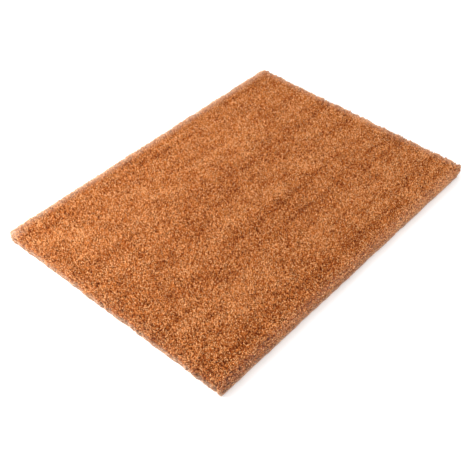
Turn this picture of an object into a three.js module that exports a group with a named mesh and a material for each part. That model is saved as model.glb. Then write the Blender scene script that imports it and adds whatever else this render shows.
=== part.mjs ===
// A coir door mat: strips of cut coconut-fibre yarn stand upright in a cast PVC sheet.
// Frame: millimetres, +X along the long side, +Y along the short side, +Z up.
// The origin is the middle of the underside.

import * as THREE from 'three';

// Driving dimensions
const MAT_LENGTH = 700; // along X
const MAT_WIDTH = 500; // along Y
const MAT_THICKNESS = 22; // underside to the cut tips of the pile
const STRIP_COUNT = 40; // strips of pile, side by side across the width
const LINES_PER_STRIP = 3; // lines of yarn ends that one strip holds
const SHEET_THICKNESS = 3; // the PVC sheet
const SOCKET_DEPTH = 1; // how deep the foot of a strip is sunk in the sheet
const SOCKET_RIB = 1.3; // PVC left between two sockets, at the top of the sheet
const GAP = 0.3; // clearance between faces that touch
const CROWN_RISE = 0.2; // how far the middle of a line of yarn ends stands above its sides
const SHOULDER_RADIUS = 1.2; // the trimmed shoulder along a strip's two outer lines
const SHOULDER_STEPS = 3;
const CROWN_STEPS = 4;

// Derived sizes
const PITCH = (MAT_WIDTH + GAP) / STRIP_COUNT;
const STRIP_WIDTH = PITCH - GAP;
const SOCKET_FLOOR = SHEET_THICKNESS - SOCKET_DEPTH;

// The sockets and the strips' feet have 45 degree sides, so a foot is as much narrower than its
// socket as the same clearance measures along Y.
const FOOT_INSET = GAP * Math.SQRT2;

function coirMaterial() {
  return new THREE.MeshStandardMaterial({ color: 0xb37044, roughness: 0.95, metalness: 0 });
}

function pvcMaterial() {
  return new THREE.MeshStandardMaterial({ color: 0xc8b59f, roughness: 0.6, metalness: 0 });
}

// Middle of strip number `index`, counted from the -Y edge.
function stripCentre(index) {
  return -MAT_WIDTH / 2 + STRIP_WIDTH / 2 + index * PITCH;
}

// Runs a closed outline, drawn in Y and Z, along the whole length of the mat.
function extrudeAlongX(outline) {
  const solid = new THREE.ExtrudeGeometry(outline, { depth: MAT_LENGTH, bevelEnabled: false });
  const yzToWorld = new THREE.Matrix4().makeBasis(
    new THREE.Vector3(0, 1, 0),
    new THREE.Vector3(0, 0, 1),
    new THREE.Vector3(1, 0, 0),
  );
  solid.applyMatrix4(yzToWorld);
  solid.translate(-MAT_LENGTH / 2, 0, 0);
  return solid;
}

// The cast sheet: flat underneath, with one shallow, slope-sided socket for the foot of each strip.
function backing() {
  const outline = new THREE.Shape();
  const halfTop = (PITCH - SOCKET_RIB) / 2;
  const halfFloor = halfTop - SOCKET_DEPTH;
  outline.moveTo(-MAT_WIDTH / 2, 0);
  outline.lineTo(MAT_WIDTH / 2, 0);
  outline.lineTo(MAT_WIDTH / 2, SHEET_THICKNESS);
  for (let index = STRIP_COUNT - 1; index >= 0; index -= 1) {
    const middle = stripCentre(index);
    outline.lineTo(middle + halfTop, SHEET_THICKNESS);
    outline.lineTo(middle + halfFloor, SOCKET_FLOOR);
    outline.lineTo(middle - halfFloor, SOCKET_FLOOR);
    outline.lineTo(middle - halfTop, SHEET_THICKNESS);
  }
  outline.lineTo(-MAT_WIDTH / 2, SHEET_THICKNESS);
  outline.closePath();
  return new THREE.Mesh(extrudeAlongX(outline), pvcMaterial());
}

// The top of a strip: one shallow arch for each line of yarn ends, drawn from +Y to -Y.
function drawCrown(outline) {
  const lineWidth = STRIP_WIDTH / LINES_PER_STRIP;
  const valley = MAT_THICKNESS - CROWN_RISE;
  for (let line = 0; line < LINES_PER_STRIP; line += 1) {
    const start = STRIP_WIDTH / 2 - line * lineWidth;
    for (let step = 1; step <= CROWN_STEPS; step += 1) {
      const along = step / CROWN_STEPS;
      const y = start - lineWidth * along;
      const z = valley + CROWN_RISE * Math.sin(Math.PI * along);
      const isShoulder = Math.abs(y) > STRIP_WIDTH / 2 - SHOULDER_RADIUS;
      if (!isShoulder) outline.lineTo(y, z);
    }
  }
}

// The trimmed shoulder on one side of a strip, as a quarter circle.
function drawShoulder(outline, side) {
  const centreY = side * (STRIP_WIDTH / 2 - SHOULDER_RADIUS);
  const centreZ = MAT_THICKNESS - CROWN_RISE / 2 - SHOULDER_RADIUS;
  for (let step = 0; step <= SHOULDER_STEPS; step += 1) {
    const turned = (step / SHOULDER_STEPS) * (Math.PI / 2);
    const angle = side > 0 ? turned : Math.PI / 2 + turned;
    outline.lineTo(
      centreY + SHOULDER_RADIUS * Math.cos(angle),
      centreZ + SHOULDER_RADIUS * Math.sin(angle),
    );
  }
}

// One strip of pile: a tapered foot that sits in its socket, straight sides and a trimmed crown.
function pileStrip(index) {
  const halfFoot = (PITCH - SOCKET_RIB) / 2 - SOCKET_DEPTH - FOOT_INSET + GAP;
  const footBottom = SOCKET_FLOOR + GAP;
  const halfWidth = STRIP_WIDTH / 2;
  const flareTop = footBottom + (halfWidth - halfFoot);
  const outline = new THREE.Shape();
  outline.moveTo(-halfFoot, footBottom);
  outline.lineTo(halfFoot, footBottom);
  outline.lineTo(halfWidth, flareTop);
  drawShoulder(outline, 1);
  drawCrown(outline);
  drawShoulder(outline, -1);
  outline.lineTo(-halfWidth, flareTop);
  outline.closePath();
  const strip = new THREE.Mesh(extrudeAlongX(outline), coirMaterial());
  strip.position.y = stripCentre(index);
  return strip;
}

const mat = new THREE.Group();

const sheet = backing();
sheet.name = 'backing';
mat.add(sheet);

for (let index = 0; index < STRIP_COUNT; index += 1) {
  const strip = pileStrip(index);
  strip.name = `pile_strip_${String(index + 1).padStart(2, '0')}`;
  mat.add(strip);
}

export default mat;
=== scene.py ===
import math

import bmesh
import bpy
import numpy as np
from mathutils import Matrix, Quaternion, Vector


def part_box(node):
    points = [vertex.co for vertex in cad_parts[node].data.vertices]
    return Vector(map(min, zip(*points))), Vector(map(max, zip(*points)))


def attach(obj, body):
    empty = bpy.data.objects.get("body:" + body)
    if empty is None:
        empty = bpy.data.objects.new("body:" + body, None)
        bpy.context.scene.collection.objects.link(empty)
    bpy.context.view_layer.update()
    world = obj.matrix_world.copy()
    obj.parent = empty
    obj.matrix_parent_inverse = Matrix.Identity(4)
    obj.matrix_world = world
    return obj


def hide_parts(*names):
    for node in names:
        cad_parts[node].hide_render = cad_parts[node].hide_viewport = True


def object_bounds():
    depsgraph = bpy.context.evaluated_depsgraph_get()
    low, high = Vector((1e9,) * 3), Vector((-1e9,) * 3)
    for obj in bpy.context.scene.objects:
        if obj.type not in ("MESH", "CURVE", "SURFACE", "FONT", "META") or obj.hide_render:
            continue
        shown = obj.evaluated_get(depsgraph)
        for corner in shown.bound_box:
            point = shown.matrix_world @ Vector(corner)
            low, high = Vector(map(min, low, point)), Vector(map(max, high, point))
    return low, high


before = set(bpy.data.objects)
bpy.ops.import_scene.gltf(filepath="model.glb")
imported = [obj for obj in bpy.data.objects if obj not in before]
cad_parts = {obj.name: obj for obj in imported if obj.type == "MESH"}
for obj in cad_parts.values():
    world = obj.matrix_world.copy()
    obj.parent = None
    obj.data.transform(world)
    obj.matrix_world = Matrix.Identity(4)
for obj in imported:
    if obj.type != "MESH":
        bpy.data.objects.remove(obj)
CAD_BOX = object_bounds()


# --- Camera -----------------------------------------------------------------------------------
# A short telephoto looks down on the mat from beyond its nearest corner, and leans very slightly
# to one side. It aims at a point a little short of the mat's middle.

CAMERA_AZIMUTH = math.radians(-49.95)
CAMERA_ELEVATION = math.radians(44.04)
CAMERA_ROLL = math.radians(1.44)
CAMERA_DISTANCE = 1.4926
CAMERA_AIM = Vector((-0.08235, -0.0433, 0.011))
CAMERA_LENS_MM = 64.11
SENSOR_MM = 36

camera_data = bpy.data.cameras.new("camera")
camera_data.lens = CAMERA_LENS_MM
camera_data.sensor_width = SENSOR_MM
camera = bpy.data.objects.new("camera", camera_data)
bpy.context.scene.collection.objects.link(camera)
bpy.context.scene.camera = camera

towards_camera = Vector((
    math.sin(CAMERA_AZIMUTH) * math.cos(CAMERA_ELEVATION),
    -math.cos(CAMERA_AZIMUTH) * math.cos(CAMERA_ELEVATION),
    math.sin(CAMERA_ELEVATION),
))
level = (-towards_camera).to_track_quat("-Z", "Y")
camera.rotation_mode = "QUATERNION"
camera.rotation_quaternion = level @ Quaternion((0, 0, 1), CAMERA_ROLL)
camera.location = CAMERA_AIM + towards_camera * CAMERA_DISTANCE


# --- Floor and light --------------------------------------------------------------------------
# A plain pale studio floor under a bright even sky, with one large soft lamp high beyond the
# mat's -X +Y corner. The floor is matt paper, so it shows only the softest of shadows.

FLOOR_SIZE = 12
FLOOR_COLOUR = "#fbfbfb"
PAPER_ROUGHNESS = 0.9
PAPER_IOR = 1.45
SKY_STRENGTH = 1.35
KEY_POWER = 34.5
KEY_SIZE = 0.9
KEY_PLACE = Vector((-0.95, 0.9, 0.9))


def linear(hex_colour):
    """An sRGB hex colour as the linear RGBA that the shaders take."""
    channels = [int(hex_colour[start:start + 2], 16) / 255 for start in (1, 3, 5)]
    return [c / 12.92 if c <= 0.04045 else ((c + 0.055) / 1.055) ** 2.4 for c in channels] + [1]


def start_material(name, roughness, ior):
    """An empty node material with its main shader's constants set."""
    material = bpy.data.materials.new(name)
    material.use_nodes = True
    shader = material.node_tree.nodes["Principled BSDF"]
    shader.inputs["Roughness"].default_value = roughness
    shader.inputs["IOR"].default_value = ior
    return material, material.node_tree, shader


def add_object(name, mesh):
    """Puts a mesh into the scene as an object at the origin."""
    item = bpy.data.objects.new(name, mesh)
    bpy.context.scene.collection.objects.link(item)
    return item


floor_shape = bmesh.new()
bmesh.ops.create_grid(floor_shape, x_segments=1, y_segments=1, size=FLOOR_SIZE / 2)
floor_mesh = bpy.data.meshes.new("floor")
floor_shape.to_mesh(floor_mesh)
floor_shape.free()
floor = add_object("floor", floor_mesh)
paper, _, paper_shader = start_material("studio_paper_matt", PAPER_ROUGHNESS, PAPER_IOR)
paper_shader.inputs["Base Color"].default_value = linear(FLOOR_COLOUR)
floor.data.materials.append(paper)

world = bpy.data.worlds.new("studio")
world.use_nodes = True
world.node_tree.nodes["Background"].inputs["Color"].default_value = (1, 1, 1, 1)
world.node_tree.nodes["Background"].inputs["Strength"].default_value = SKY_STRENGTH
bpy.context.scene.world = world

key_data = bpy.data.lights.new("key", "AREA")
key_data.energy = KEY_POWER
key_data.size = KEY_SIZE
key = bpy.data.objects.new("key", key_data)
key.location = KEY_PLACE
key.rotation_mode = "QUATERNION"
key.rotation_quaternion = (-KEY_PLACE).to_track_quat("-Z", "Y")
bpy.context.scene.collection.objects.link(key)

bpy.context.scene.view_settings.view_transform = "Standard"


# --- PVC backing ------------------------------------------------------------------------------
# One sheet of soft PVC, cast as a paste on a moving belt and cured round the feet of the pile,
# then cut to size with the pile. The belt leaves a fine pebbled skin on the underside.

PVC_COLOUR = "#ad8468"
PVC_DARK = "#946d53"
PVC_ROUGHNESS = 0.55
PVC_IOR = 1.53
PEBBLE_MM = 5  # drawn coarser than the real 1 mm belt grain, so that it shows
PEBBLE_HEIGHT = 0.0008
PEBBLE_STRENGTH = 0.7
MOTTLE_MM = 35
MOTTLE_DETAIL = 4.0
MOTTLE_RANGE = (0.3, 0.65)  # the noise values that give the dark and the plain colour

SHEET_CELL = 0.005
SHEET_LUMPINESS = 0.6  # of the pile's own: a cut edge wanders less than the tufts above it
DIMPLE = 0.00025  # how far the underside is uneven
DIMPLE_SEED = 20

PATCH_GRID = 64  # patches along each side of the random pattern, before it repeats
CORNER_RADIUS = 0.009
CRISP_CORNER_RADIUS = 0.0025  # of the one corner that isn't worn round, at -X -Y
LUMP_SEEDS = (23, 24)
LUMP_SIZES = (0.008, 0.014)  # of the outline's bumps, at the short ends and the long sides
LUMP_HEIGHTS = (0.0027, 0.0012)
LUMP_BIAS = 0.5  # the bumps stand out further than the dips go in
LUMP_BAND = 0.020


def add_node(tree, kind, settings=None, inputs=None):
    """Adds one node to a material, with its settings and its input values or links."""
    node = tree.nodes.new(kind)
    for name, value in (settings or {}).items():
        setattr(node, name, value)
    for name, value in (inputs or {}).items():
        if isinstance(value, bpy.types.NodeSocket):
            tree.links.new(value, node.inputs[name])
        else:
            node.inputs[name].default_value = value
    return node


def pvc_material():
    """Cast soft PVC: matt, slightly mottled, with the pebbled grain of the casting belt."""
    material, tree, shader = start_material("soft_pvc_cast", PVC_ROUGHNESS, PVC_IOR)
    place = add_node(tree, "ShaderNodeTexCoord").outputs["Object"]
    mottle = add_node(tree, "ShaderNodeTexNoise", inputs={
        "Vector": place, "Scale": 1000 / MOTTLE_MM, "Detail": MOTTLE_DETAIL})
    colours = add_node(tree, "ShaderNodeValToRGB", inputs={"Fac": mottle.outputs["Fac"]})
    ends = colours.color_ramp.elements
    for end, position, colour in zip(ends, MOTTLE_RANGE, (PVC_DARK, PVC_COLOUR)):
        end.position = position
        end.color = linear(colour)
    pebble = add_node(tree, "ShaderNodeTexVoronoi", inputs={
        "Vector": place, "Scale": 1000 / PEBBLE_MM})
    relief = add_node(tree, "ShaderNodeBump", inputs={
        "Height": pebble.outputs["Distance"],
        "Strength": PEBBLE_STRENGTH, "Distance": PEBBLE_HEIGHT})
    tree.links.new(colours.outputs["Color"], shader.inputs["Base Color"])
    tree.links.new(relief.outputs["Normal"], shader.inputs["Normal"])
    return material


def patchy(points, size, seed):
    """A smooth random value, from -1 to 1, for each point in plan, in patches of about size."""
    grid = np.random.default_rng(seed).uniform(-1, 1, (PATCH_GRID, PATCH_GRID))
    place = points / np.array(size)
    whole = np.floor(place).astype(int)
    part = place - whole
    part = part * part * (3 - 2 * part)
    (i, j), (next_i, next_j) = whole.T % PATCH_GRID, (whole.T + 1) % PATCH_GRID
    low = grid[i, j] * (1 - part[:, 0]) + grid[next_i, j] * part[:, 0]
    high = grid[i, next_j] * (1 - part[:, 0]) + grid[next_i, next_j] * part[:, 0]
    return low * (1 - part[:, 1]) + high * part[:, 1]


def nearness(points, half, band):
    """How near each point in plan is to the mat's ends and to its sides: 1 on the edge, 0 from
    band inwards."""
    return 1 - np.clip((half - np.abs(points)) / band, 0, 1)


def outlined(points, half, lumpiness):
    """Moves points in plan so that the ones near an edge follow the mat's outline, which wanders
    a little, and the ones in a corner follow its rounding. A lumpiness of 1 is the pile's."""
    crisp = (points[:, 0] < 0) & (points[:, 1] < 0)
    inner = half - np.where(crisp, CRISP_CORNER_RADIUS, CORNER_RADIUS)[:, None]
    beyond = np.maximum(np.abs(points) - inner, 0)
    far = np.maximum(np.hypot(beyond[:, 0], beyond[:, 1]), 1e-9)
    squeeze = (np.max(beyond, axis=1) / far)[:, None]
    wander = [patchy(points[:, [1, 1]], LUMP_SIZES[0], LUMP_SEEDS[0]),
              patchy(points[:, [0, 0]], LUMP_SIZES[1], LUMP_SEEDS[1])]
    lumps = np.column_stack(wander) + LUMP_BIAS
    lumps *= lumpiness * np.array(LUMP_HEIGHTS) * nearness(points, half, LUMP_BAND)
    return np.sign(points) * (np.minimum(np.abs(points), inner) + beyond * squeeze + lumps)


def backing_mesh(low, high, half):
    """The cast sheet: its outline cut with the pile's, its underside a little uneven."""
    sheet = bmesh.new()
    bmesh.ops.create_grid(sheet, size=0.5, x_segments=round((high.x - low.x) / SHEET_CELL),
                          y_segments=round((high.y - low.y) / SHEET_CELL))
    bmesh.ops.scale(sheet, verts=sheet.verts, vec=(high.x - low.x, high.y - low.y, 1))
    places = np.array([v.co.xy for v in sheet.verts])
    places = outlined(places, half, SHEET_LUMPINESS)
    dimples = DIMPLE * np.random.default_rng(DIMPLE_SEED).uniform(0, 1, len(places))
    for v, (x, y), dimple in zip(sheet.verts, places, dimples):
        v.co = (x, y, low.z + (0 if v.is_boundary else dimple))
    raised = bmesh.ops.extrude_face_region(sheet, geom=sheet.faces[:])["geom"]
    for v in raised:
        if isinstance(v, bmesh.types.BMVert):
            v.co.z = high.z
    bmesh.ops.recalc_face_normals(sheet, faces=sheet.faces)
    mesh = bpy.data.meshes.new("pvc_backing")
    sheet.to_mesh(mesh)
    sheet.free()
    return mesh


half_mat = np.array([CAD_BOX[1].x, CAD_BOX[1].y])
backing = add_object("pvc_backing", backing_mesh(*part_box("backing"), half_mat))
backing.data.materials.append(pvc_material())
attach(backing, "root")
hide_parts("backing")


# --- Coir pile --------------------------------------------------------------------------------
# Coconut-fibre yarn, planted in lines while the PVC is soft, then sheared level. Each yarn end
# opens into a stiff tuft, and the tufts close up into one even brush. Real fibres are about
# 0.3 mm thick and far more of them stand in a tuft: here they are fewer, and 1.2 mm thick.

STRIP_COUNT = sum(name.startswith("pile_strip_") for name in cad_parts)
LINES_PER_STRIP = 3
FIBRE_SEED = 20
FIBRE_SIDES = 3
SAME_PLACE = 1e-6  # points of a shape one unit in size that are nearer than this are one
MAP_MARGIN = 0.15  # left free round each fibre in its cell of the map
TUFT_PITCH = 0.0042
FIBRE_PITCH = 0.00098
FIBRE_RADIUS = 0.0006
THICKNESS_SHARES = (0.6, 1.4)  # the thinnest and thickest fibre, as shares of that radius
GATHER = 0.3  # how far the fibres of a tuft draw together, from 0 to 1
LEAN_SPREAD = 0.15  # run for each unit of rise, for the leaning of a whole tuft
STRAY_SPREAD = 0.40  # and for one fibre within it
VISIBLE_DEPTH = 0.0065  # how far below the cut tips the fibres start
DEPTH_SHARES = (0.8, 1.0)  # and how much that differs from one to the next
TUFT_HEIGHT_SPREAD = 0.0003
TUFT_TONE_SPREAD = 0.05
FIBRE_TONE_SPREAD = 0.37
BAND_SIZE = (0.5, 0.035)  # along and across the planted lines, which are not all alike
BAND_TONE = 0.08
BAND_SEED = 26
STREAK_SIZE = (0.30, 0.009)
STREAK_TONE = 0.22
STREAK_ONSET = -0.25  # only the part of the pattern that is lower than this makes dark streaks
STREAK_SEED = 21
BLOTCH_SIZE = (0.030, 0.018)
BLOTCH_TONE = 0.09
BLOTCH_SEED = 22
FIBRE_HEIGHT_SPREAD = 0.0010
PROUD_LIMIT = 0.0014  # how far a fibre may stand above the mat's own box
CORE_TOP = 0.0155  # of the dense block that fills the pile below the fibres that show
CORE_INSET = 0.0026
ON_EDGE = 0.001  # a strip's side lies on the mat's edge if it is this near to it

FUZZ_REACH = 0.0035  # how far a stray fibre may stand out of the outline
EDGE_BAND = 0.0045  # the width of the worn shoulder round the outside of the pile
EDGE_DROP = 0.0022
WORN_DROP = (0.0022, 0.0036)  # at the +X end and the +Y side, where the shoulder is rounder
EDGE_LEAN = 0.35
WALL_FIBRES = 1.1e6  # for each square metre of the pile's cut faces
WALL_FIBRE_RISE = (0.002, 0.006)
WALL_FIBRE_OUT = (0.0004, 0.0026)  # how far its head stands out beyond its foot
WALL_FIBRE_STRAY = 0.0012
WALL_FOOT_DEPTH = (0.001, 0.003)  # how far the foot stands in from the face
WALL_FOOT_CLEAR = (0.0003, 0.003)  # the least from the bottom and from the shoulder
FACE_LIGHT_AND_SHADE_TONES = (-0.05, 0.1)  # painted shade added on the strips' ends and painted light on the outermost sides

COIR_COLOURS = (
    (0.00, "#5c2205"),
    (0.25, "#91410d"),
    (0.50, "#c16a2a"),
    (0.75, "#dd914f"),
    (1.00, "#f0b77e"),
)
FOOT_SHADE = "#c6a87a"  # painted shade: multiplies a fibre's colour at its foot, deep in the pile
# Painted shade: the dense block deep in the pile takes a darker tone than the fibres.
CORE_SHADE_TONE = 0.25
MEAN_TONE = 0.53
# The pale colour below stands partly for dust and PVC paste and partly for painted light.
DUST_AND_LIGHT_COLOUR = "#e8cdb4"
DUST_AND_LIGHT_SHARES = (0.2, 1.8)  # how much more or less than the mean one fibre takes
DUST_AND_LIGHT_FULL = 0.003  # the height up to which the cut faces are palest
DUST_AND_LIGHT_TOP = 0.020  # and the height where that ends
FACE_DUST_AND_LIGHT = (1.35, 0.8)  # on the strips' ends and on the outermost sides
WORN_FRAY_AND_RIM_LIGHT = (0.42, 0.68)  # fraying and painted rim light on the pile's shoulder at the +X end and the +Y side
FRESH_FRAY_AND_LIGHT = (0.05, 0.15)  # and at the -X end and the -Y side
FRAY_AND_LIGHT_BAND = 0.022
FRAY_AND_LIGHT_HEIGHTS = (0.011, 0.017)  # where on the cut faces the fraying and painted rim light start, and where they are full
CORNER_PAINTED_LIGHT = 0.9  # painted light on the corner nearest the lamp, at -X +Y
CORNER_BAND = 0.028
COIR_ROUGHNESS = 0.8
COIR_SPECULAR = 0.15  # a dry, porous skin reflects less than a smooth one of the same IOR
COIR_IOR = 1.52
MIX_FACTOR, MIX_A, MIX_B, MIX_RESULT = 0, 6, 7, 2  # a Mix node's sockets when it mixes colours


def coir_material():
    """Dry coir: each fibre has its own tone from red-brown to straw, with painted shade that
    darkens it downwards.
    """
    material, tree, shader = start_material("coir_yarn_sheared", COIR_ROUGHNESS, COIR_IOR)
    tone = add_node(tree, "ShaderNodeAttribute", {"attribute_name": "tone"})
    along = add_node(tree, "ShaderNodeAttribute", {"attribute_name": "along"})
    dust_and_light = add_node(tree, "ShaderNodeAttribute", {"attribute_name": "dust_and_light"})
    shades = add_node(tree, "ShaderNodeValToRGB", inputs={"Fac": tone.outputs["Fac"]})
    ramp = shades.color_ramp
    while len(ramp.elements) < len(COIR_COLOURS):
        ramp.elements.new(0.5)
    for element, (position, colour) in zip(ramp.elements, COIR_COLOURS):
        element.position = position
        element.color = linear(colour)
    # Painted shade: each fibre's colour is multiplied down towards its foot.
    dimming = add_node(tree, "ShaderNodeMix", {"data_type": "RGBA"}, {
        MIX_FACTOR: along.outputs["Fac"], MIX_A: linear(FOOT_SHADE), MIX_B: (1, 1, 1, 1)})
    shaded = add_node(tree, "ShaderNodeMix", {"data_type": "RGBA", "blend_type": "MULTIPLY"}, {
        MIX_FACTOR: 1.0, MIX_A: shades.outputs["Color"], MIX_B: dimming.outputs[MIX_RESULT]})
    # The pale mix is partly dust and PVC paste, partly painted light.
    dust_and_light_mixed = add_node(tree, "ShaderNodeMix", {"data_type": "RGBA"}, {
        MIX_FACTOR: dust_and_light.outputs["Fac"], MIX_A: shaded.outputs[MIX_RESULT],
        MIX_B: linear(DUST_AND_LIGHT_COLOUR)})
    tree.links.new(dust_and_light_mixed.outputs[MIX_RESULT], shader.inputs["Base Color"])
    shader.inputs["Specular IOR Level"].default_value = COIR_SPECULAR
    return material


def shape_arrays(shape):
    """A bmesh's vertices and faces, and for each face corner a place across and up one map cell."""
    bmesh.ops.recalc_face_normals(shape, faces=shape.faces)
    shape.verts.index_update()
    vertices = np.array([v.co for v in shape.verts])
    faces = [[v.index for v in face.verts] for face in shape.faces]
    corners = []
    for face in shape.faces:
        middle = face.calc_center_median()
        across = Vector((-middle.y, middle.x, 0))
        flat = across.length < SAME_PLACE
        for v in face.verts:
            u = 0.5 if flat else 0.5 + 0.5 * (v.co - middle).dot(across.normalized())
            corners.append((min(max(u, 0), 1), v.co.z))
    shape.free()
    return vertices, faces, np.array(corners)


def fibre_shape():
    """One cut fibre, one unit high and one in radius: a flat cut end on top, and three sides
    that taper to nothing at the foot, which is hidden in the pile."""
    spike = bmesh.new()
    bmesh.ops.create_cone(
        spike, cap_ends=True, segments=FIBRE_SIDES, radius1=1, radius2=0, depth=1)
    bmesh.ops.remove_doubles(spike, verts=spike.verts, dist=SAME_PLACE)
    bmesh.ops.scale(spike, verts=spike.verts, vec=(1, 1, -1))
    bmesh.ops.translate(spike, verts=spike.verts, vec=(0, 0, 0.5))
    return shape_arrays(spike)


def core_shape():
    """The dense lower part of a strip as a closed block, one unit each way, standing on z 0."""
    block = bmesh.new()
    bmesh.ops.create_cube(block, size=1)
    bmesh.ops.translate(block, verts=block.verts, vec=(0, 0, 0.5))
    return shape_arrays(block)


def shaded_tones(points, random):
    """A tone for each fibre: its own, and the slow bands, streaks and blotches of the yarn."""
    tone = MEAN_TONE + random.normal(0, FIBRE_TONE_SPREAD, len(points))
    tone += BAND_TONE * patchy(points, BAND_SIZE, BAND_SEED)
    streaks = patchy(points, STREAK_SIZE, STREAK_SEED)
    tone += STREAK_TONE * np.minimum(streaks - STREAK_ONSET, 0)
    return tone + BLOTCH_TONE * patchy(points, BLOTCH_SIZE, BLOTCH_SEED)


def dust_and_light_paleness(points, height, half, random):
    """How pale each fibre is, from 0 to 1 or a little over. Part is the dust and PVC paste that
    cling to the lower part of the cut faces and the fraying of the pile's shoulder; part is
    painted light: floor bounce low on the cut faces, rim light on the shoulders of the +X end
    and the +Y side, and light on the corner nearest the lamp."""
    # Paler low on the cut faces: PVC paste and dust, and painted floor-bounce light.
    low_down = np.clip((DUST_AND_LIGHT_TOP - height) / (DUST_AND_LIGHT_TOP - DUST_AND_LIGHT_FULL), 0, 1)[:, None]
    faces = np.array(FACE_DUST_AND_LIGHT) * low_down * nearness(points, half, EDGE_BAND)
    # Paler along the pile's shoulder: fraying, and painted rim light on the +X end and the +Y side.
    high_up = np.clip((height - FRAY_AND_LIGHT_HEIGHTS[0]) / (FRAY_AND_LIGHT_HEIGHTS[1] - FRAY_AND_LIGHT_HEIGHTS[0]), 0, 1)
    frays_and_light = np.where(points > 0, WORN_FRAY_AND_RIM_LIGHT, FRESH_FRAY_AND_LIGHT) * high_up[:, None]
    shoulders = frays_and_light * nearness(points, half, FRAY_AND_LIGHT_BAND) ** 2
    # The corner nearest the lamp is painted paler: painted light.
    lamp_side_corner = (points[:, 0] < 0) & (points[:, 1] > 0)
    corner = CORNER_PAINTED_LIGHT * lamp_side_corner * np.prod(nearness(points, half, CORNER_BAND), axis=1)
    dust_and_light = np.maximum(np.max(np.maximum(faces, shoulders), axis=1), corner)
    return dust_and_light * random.uniform(*DUST_AND_LIGHT_SHARES, len(points))


def tuft_fibres(low, high, half, random):
    """Feet, heads, tones and paleness of the fibres that show on top of one strip; the paleness
    is partly dust and partly painted light.
    """
    length, width = high.x - low.x, high.y - low.y
    columns, rows = round(length / FIBRE_PITCH), round(width / FIBRE_PITCH)
    row, column = np.divmod(np.arange(rows * columns), columns)
    count = len(row)
    across = (row + random.uniform(0, 1, count)) / rows
    along = (column + random.uniform(0, 1, count)) / columns
    per_line = int(length / TUFT_PITCH)
    line = np.floor(across * LINES_PER_STRIP)
    stagger = 0.5 * (line % 2)
    place = np.floor(along * per_line + stagger)
    tuft = (line * (per_line + 1) + place).astype(int)
    tufts = LINES_PER_STRIP * (per_line + 1)
    middle = np.column_stack([low.x + along * length, low.y + across * width])
    centre = np.column_stack([low.x + (place + 0.5 - stagger) / per_line * length,
                              low.y + (line + 0.5) / LINES_PER_STRIP * width])
    middle += GATHER * (centre - middle)

    edges = nearness(middle, half, EDGE_BAND)
    slope = random.normal(0, LEAN_SPREAD, (tufts, 2))[tuft]
    slope += random.normal(0, STRAY_SPREAD, (count, 2)) + EDGE_LEAN * edges * np.sign(middle)
    head_z = high.z + random.normal(0, TUFT_HEIGHT_SPREAD, tufts)[tuft]
    head_z += random.normal(0, FIBRE_HEIGHT_SPREAD, count)
    drop = np.where(middle > 0, WORN_DROP, EDGE_DROP) * edges ** 2
    head_z = np.minimum(head_z, high.z + PROUD_LIMIT) - np.max(drop, axis=1)
    foot_z = head_z - VISIBLE_DEPTH * random.uniform(*DEPTH_SHARES, count)
    foot = middle - slope * VISIBLE_DEPTH / 2
    head = middle + slope * VISIBLE_DEPTH / 2
    tone = random.normal(0, TUFT_TONE_SPREAD, tufts)[tuft] + shaded_tones(middle, random)
    return foot, foot_z, head, head_z, tone, dust_and_light_paleness(middle, head_z, half, random)


def wall_fibres(low, high, half, random):
    """Feet, heads, tones and paleness (partly dust, partly painted light) of the fibres that show
    on the cut faces of one strip, one above another up the face and all slanting up and out of it."""
    faces = [(axis, sign) for axis in (0, 1) for sign in (-1, 1)]
    feet, outwards = [], []
    for axis, sign in faces:
        along = 1 - axis
        edge = (low if sign < 0 else high)[axis]
        if abs(edge) < half[axis] - ON_EDGE:
            continue
        length = high[along] - low[along]
        count = int(WALL_FIBRES * length * (high.z - low.z))
        foot = np.empty((count, 2))
        foot[:, along] = random.uniform(low[along], high[along], count)
        foot[:, axis] = edge - sign * random.uniform(*WALL_FOOT_DEPTH, count)
        outward = np.zeros((count, 2))
        outward[:, axis] = sign
        feet.append(foot)
        outwards.append(outward)
    foot = np.concatenate(feet)
    count = len(foot)
    out = random.uniform(*WALL_FIBRE_OUT, count)[:, None] * np.concatenate(outwards)
    head = foot + out + random.normal(0, WALL_FIBRE_STRAY, (count, 2))
    lowest = low.z + WALL_FOOT_CLEAR[0]
    highest = high.z - EDGE_DROP - WALL_FOOT_CLEAR[1]
    foot_z = random.uniform(lowest, highest, count)
    head_z = foot_z + random.uniform(*WALL_FIBRE_RISE, count)
    # The faces' added tones are painted shade on the strips' ends and painted light on the
    # outermost sides.
    tone = shaded_tones(foot, random) + np.abs(np.concatenate(outwards)) @ FACE_LIGHT_AND_SHADE_TONES
    return foot, foot_z, head, head_z, tone, dust_and_light_paleness(foot, head_z, half, random)


def grown(shape, fibres, half, radius, random):
    """Vertices of one copy of the fibre shape for each fibre, within the mat's outline."""
    foot, foot_z, head, head_z, tone, dust_and_light = fibres
    foot = np.clip(foot, -half, half)
    head = np.clip(head, -half - FUZZ_REACH, half + FUZZ_REACH)
    foot = np.column_stack([outlined(foot, half, 1), foot_z])
    head = np.column_stack([outlined(head, half, 1), head_z])
    turn = random.uniform(0, 2 * math.pi, len(foot))
    thickness = radius * random.uniform(*THICKNESS_SHARES, len(foot))
    rise = head - foot
    axis = rise / np.linalg.norm(rise, axis=1, keepdims=True)
    facing = np.stack([np.cos(turn), np.sin(turn), np.zeros(len(turn))], axis=1)
    side = facing - axis * np.sum(facing * axis, axis=1, keepdims=True)
    side /= np.linalg.norm(side, axis=1, keepdims=True)
    other = np.cross(axis, side)
    x, y, z = (shape[0][:, k][None, :, None] for k in range(3))
    spine = foot[:, None, :] + z * rise[:, None, :]
    around = x * side[:, None, :] + y * other[:, None, :]
    return shape, spine + thickness[:, None, None] * around, tone, dust_and_light


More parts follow.
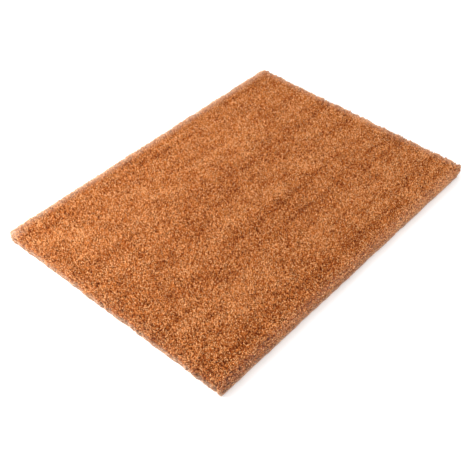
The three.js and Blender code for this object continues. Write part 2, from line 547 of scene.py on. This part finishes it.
def joined(sets):
    """One mesh from sets of (shape, vertices, tones, paleness from dust and painted light), each
    copy with its own cell of the map."""
    copies = sum(len(vertices) for _, vertices, _, _ in sets)
    cells = math.ceil(math.sqrt(copies))
    points, corner_points, face_starts, uvs = [], [], [], []
    tones, dust_and_light_values, alongs = [], [], []
    first_point = first_corner = first_cell = 0
    for (template, faces, corners), vertices, tone, dust_and_light in sets:
        count = len(vertices)
        number = np.arange(count)
        flat_faces = np.concatenate([np.array(face) for face in faces])
        sizes = np.array([len(face) for face in faces])
        starts = np.concatenate([[0], np.cumsum(sizes)[:-1]])
        points.append(vertices.reshape(-1, 3))
        corner_points.append(
            (flat_faces[None, :] + first_point + number[:, None] * len(template)).ravel())
        face_starts.append(
            (starts[None, :] + first_corner + number[:, None] * len(flat_faces)).ravel())
        cell = first_cell + number
        corner_cell = np.stack([cell % cells, cell // cells], axis=1)[:, None, :]
        within = MAP_MARGIN + (1 - 2 * MAP_MARGIN) * corners[None, :, :]
        uvs.append(((corner_cell + within) / cells).reshape(-1, 2))
        tones.append(np.repeat(tone, len(template)))
        dust_and_light_values.append(np.repeat(dust_and_light, len(template)))
        alongs.append(np.tile(template[:, 2], count))
        first_point += count * len(template)
        first_corner += count * len(flat_faces)
        first_cell += count
    mesh = bpy.data.meshes.new("pile")
    mesh.vertices.add(first_point)
    mesh.vertices.foreach_set("co", np.concatenate(points).astype(np.float32).ravel())
    mesh.loops.add(first_corner)
    mesh.loops.foreach_set("vertex_index", np.concatenate(corner_points).astype(np.int32))
    face_start = np.concatenate(face_starts).astype(np.int32)
    mesh.polygons.add(len(face_start))
    mesh.polygons.foreach_set("loop_start", face_start)
    mesh.update(calc_edges=True)
    uv_map = mesh.uv_layers.new(name="OFBake")
    uv_map.uv.foreach_set("vector", np.concatenate(uvs).astype(np.float32).ravel())
    for name, values in (("tone", tones), ("dust_and_light", dust_and_light_values), ("along", alongs)):
        attribute = mesh.attributes.new(name, "FLOAT", "POINT")
        attribute.data.foreach_set("value", np.clip(np.concatenate(values), 0, 1))
    return mesh


fibre = fibre_shape()
core = core_shape()
coir = coir_material()
random = np.random.default_rng(FIBRE_SEED)

for number in range(1, STRIP_COUNT + 1):
    node = f"pile_strip_{number:02d}"
    low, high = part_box(node)
    size = np.array([high.x - low.x - 2 * CORE_INSET, high.y - low.y, CORE_TOP - low.z])
    centre = np.array([0, (low.y + high.y) / 2, low.z])
    if low.y < -half_mat[1] + ON_EDGE or high.y > half_mat[1] - ON_EDGE:
        size[1] -= CORE_INSET
        centre[1] -= math.copysign(CORE_INSET / 2, centre[1])
    block = (core[0] * size + centre)[None, :, :]
    # The block's dark tone is painted shade, deep under the fibres that show.
    dense = (core, block, np.array([CORE_SHADE_TONE]), np.array([0]))
    top = grown(fibre, tuft_fibres(low, high, half_mat, random), half_mat, FIBRE_RADIUS, random)
    walls = grown(fibre, wall_fibres(low, high, half_mat, random), half_mat, FIBRE_RADIUS, random)
    pile = add_object(f"coir_pile_{number:02d}", joined([dense, top, walls]))
    pile.data.materials.append(coir)
    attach(pile, "root")
    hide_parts(node)
